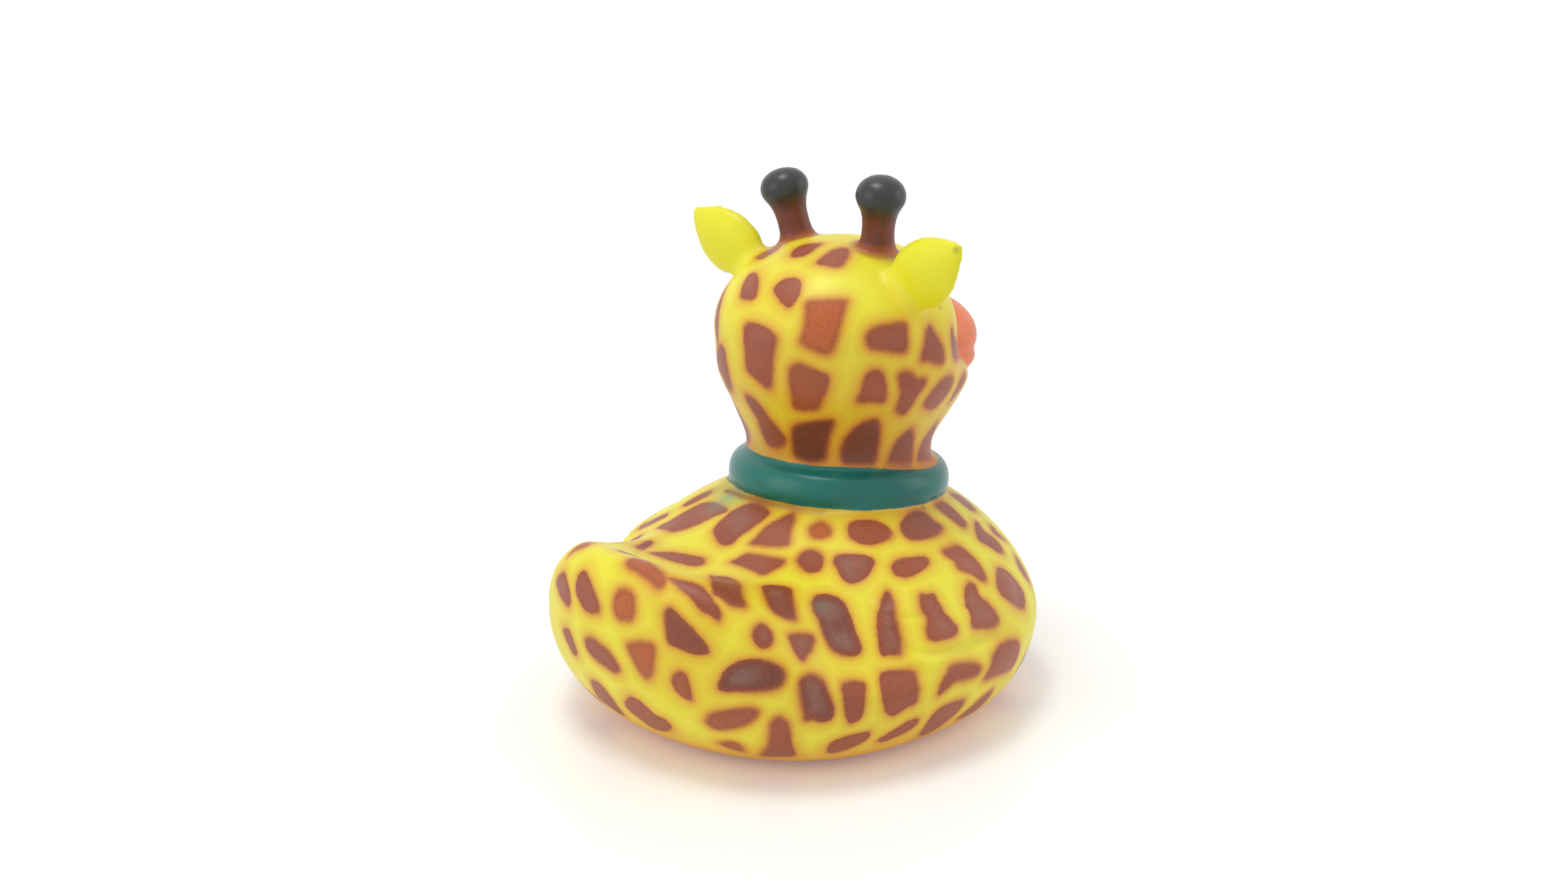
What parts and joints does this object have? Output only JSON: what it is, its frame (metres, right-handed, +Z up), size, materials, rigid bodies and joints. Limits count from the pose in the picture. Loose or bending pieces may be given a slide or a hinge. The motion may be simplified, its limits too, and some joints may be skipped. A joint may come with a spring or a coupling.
{
  "type": "rubber duck",
  "caption": "Hollow soft vinyl bath duck with giraffe horns, ears, patches and a collar band, and a squeaker pressed into its flat base.",
  "frame": {"origin": "on the plane the duck rests on, under the middle of its length and width", "axes": "+Z up, the duck faces -Y with its tail towards +Y, its left side is +X"},
  "size_m": [0.0756, 0.0878, 0.0869],
  "materials": {
    "vinyl": "satin",
    "squeaker": "satin"
  },
  "bodies": {
    "root": {"duck_body": "vinyl", "squeaker": "squeaker"}
  },
  "joints": []
}
